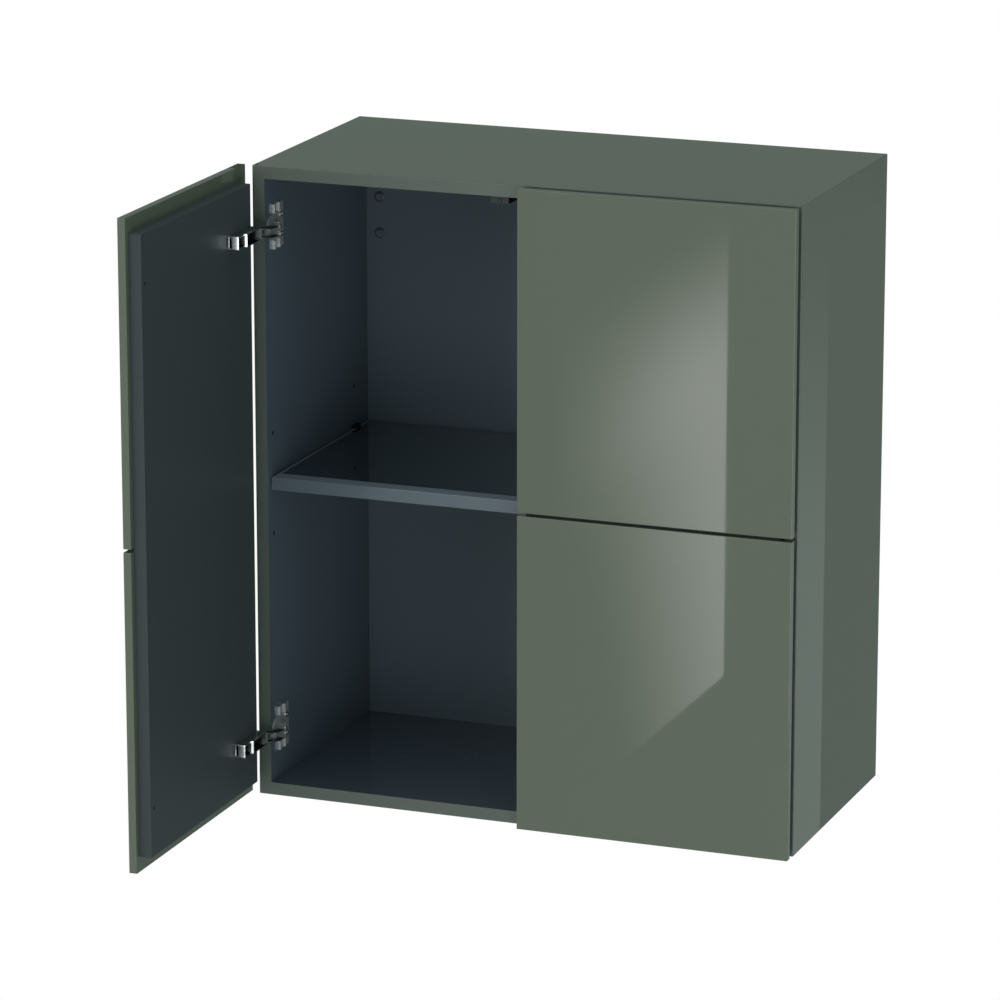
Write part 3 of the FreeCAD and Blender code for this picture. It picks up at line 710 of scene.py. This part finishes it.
def smooth_step(tree, value, span, ends):
    """A number that runs smoothly between two ends as a value crosses a span."""
    limits = {"From Min": span[0], "From Max": span[1], "To Min": ends[0], "To Max": ends[1]}
    ramp = add_node(tree, "MapRange", limits)
    ramp.interpolation_type = "SMOOTHSTEP"
    tree.links.new(value, ramp.inputs["Value"])
    return ramp.outputs["Result"]


def room_place(tree):
    """Place of the lit point in the room."""
    return add_node(tree, "NewGeometry").outputs["Position"]


def far_from_cabinet(tree):
    """0 on the floor under the cabinet, where its shadow falls, and 1 further out."""
    flat = tree.nodes.new("ShaderNodeVectorMath")
    flat.operation = "MULTIPLY"
    flat.inputs[1].default_value = (1, 1, 0)
    spread = tree.nodes.new("ShaderNodeVectorMath")
    spread.operation = "LENGTH"
    tree.links.new(room_place(tree), flat.inputs[0])
    tree.links.new(flat.outputs["Vector"], spread.inputs[0])
    return smooth_step(tree, spread.outputs["Value"], (SHADOW_NEAR, SHADOW_FAR), (0, 1))


def studio_floor():
    """Pale floor: it takes the shadow near the cabinet, and is white to the eye further out."""
    floor = stage_plane("floor", FLOOR_HALF, FLOOR_HALF, (0, 0, FLOOR_Z), FLAT)
    material, tree, shader = start_finish("floor_white")
    shader.inputs["Base Color"].default_value = FLOOR_GREY
    shader.inputs["Roughness"].default_value = FLOOR_ROUGHNESS
    glow = add_node(tree, "Emission", {"Color": WHITE, "Strength": 1.0})
    mix = add_node(tree, "MixShader")
    white_share = number(tree, "MULTIPLY", seen_rays(tree), far_from_cabinet(tree))
    tree.links.new(white_share, mix.inputs["Fac"])
    tree.links.new(shader.outputs["BSDF"], mix.inputs[1])
    tree.links.new(glow.outputs["Emission"], mix.inputs[2])
    tree.links.new(mix.outputs["Shader"], tree.nodes["Material Output"].inputs["Surface"])
    floor.data.materials.append(material)


def card_glow(card, colour):
    """Make a card glow, in reflections only; gives its material's tree and the glow's strength."""
    material = bpy.data.materials.new(card.name)
    material.use_nodes = True
    tree = material.node_tree
    tree.nodes.clear()
    glow = add_node(tree, "Emission", {"Color": colour})
    output = add_node(tree, "OutputMaterial")
    tree.links.new(glow.outputs["Emission"], output.inputs["Surface"])
    card.data.materials.append(material)
    only_in_reflections(card)
    return tree, glow.inputs["Strength"]


def fading_card(name, half_width, place, heights, glows):
    """Tall upright card whose glow changes with the height."""
    card = stage_plane(name, half_width, WALL_HALF, place, UPRIGHT)
    tree, strength = card_glow(card, WALL_TINT)
    height = axes_of(tree, room_place(tree))["Z"]
    tree.links.new(smooth_step(tree, height, heights, glows), strength)


def even_card(name, half_width, half_height, place, colour, glow):
    """Upright card with the same glow all over."""
    card = stage_plane(name, half_width, half_height, place, UPRIGHT)
    strength = card_glow(card, colour)[1]
    strength.default_value = glow


def reflection_cards():
    """What the cabinet mirrors: a dim wall behind it, a lighter panel, a black flag and a bright card."""
    wall_place = (WALL_END_X - WALL_HALF, WALL_Y, 0)
    panel_place = (WALL_END_X + PANEL_HALF_WIDTH, WALL_Y, 0)
    fading_card("dark_wall", WALL_HALF, wall_place, WALL_FADE_Z, WALL_GLOW)
    even_card("hinge_flag", FLAG_HALF_WIDTH, FLAG_HALF_HEIGHT, FLAG_PLACE, WALL_TINT, FLAG_GLOW)
    fading_card("side_panel", PANEL_HALF_WIDTH, panel_place, PANEL_FADE_Z, PANEL_GLOW)
    even_card("front_card", CARD_HALF_WIDTH, CARD_HALF_HEIGHT, CARD_PLACE, CARD_TINT, CARD_GLOW)


def softbox():
    """Upright softbox in front, which the right door mirrors; it fades to the floor's white."""
    half_width = (SOFTBOX_FAR_Y - SOFTBOX_NEAR_Y) / 2
    half_height = (SOFTBOX_TOP_Z - FLOOR_Z) / 2
    middle = (SOFTBOX_X, (SOFTBOX_NEAR_Y + SOFTBOX_FAR_Y) / 2, (FLOOR_Z + SOFTBOX_TOP_Z) / 2)
    card = stage_plane("softbox", half_width, half_height, middle, UPRIGHT_SIDEWAYS)
    tree, strength = card_glow(card, WHITE)
    axes = axes_of(tree, room_place(tree))
    below = number(tree, "MAXIMUM", number(tree, "SUBTRACT", SOFTBOX_BEND_Z, axes["Z"]), 0.0)
    above = number(tree, "MAXIMUM", number(tree, "SUBTRACT", axes["Z"], SOFTBOX_LEAN_Z), 0.0)
    lean = number(tree, "MULTIPLY", number(tree, "SUBTRACT", below, above), SOFTBOX_BEND)
    bent = number(tree, "ADD", axes["Y"], lean)
    along = smooth_step(tree, bent, (SOFTBOX_FAR_Y, SOFTBOX_NEAR_Y), (0, SOFTBOX_GLOW))
    upward = smooth_step(tree, axes["Z"], (SOFTBOX_TOP_Z, SOFTBOX_FULL_Z), (0, 1))
    glow = number(tree, "ADD", number(tree, "MULTIPLY", along, upward), 1.0)
    tree.links.new(glow, strength)


def studio_lamp(name, place, size, power, colour):
    """Soft square lamp that faces the cabinet."""
    bpy.ops.object.light_add(type="AREA", location=place)
    lamp = bpy.context.object
    lamp.name = name
    lamp.data.size = size
    lamp.data.energy = power
    lamp.data.color = colour
    lamp.visible_camera = False
    lamp.rotation_mode = "QUATERNION"
    lamp.rotation_quaternion = lamp.location.to_track_quat("Z", "Y")


def photo_camera():
    """Camera at the photograph's viewpoint."""
    bpy.ops.object.camera_add(location=CAMERA_PLACE)
    camera = bpy.context.object
    camera.rotation_euler = (math.radians(90 - CAMERA_DIP), 0, math.radians(CAMERA_TURN))
    camera.data.sensor_width = SENSOR
    camera.data.lens = CAMERA_LENS
    camera.data.clip_end = CAMERA_REACH
    bpy.context.scene.camera = camera


bpy.context.scene.view_settings.view_transform = "Standard"
finishes = make_finishes()
dress_nodes(finishes)
hinge_channels(finishes["hinge_nickel"], finishes["dark_steel"])
latch_springs(finishes["spring_steel"])
studio_world()
studio_floor()
reflection_cards()
softbox()
for lamp_name, settings in LAMPS.items():
    studio_lamp(lamp_name, *settings)
photo_camera()
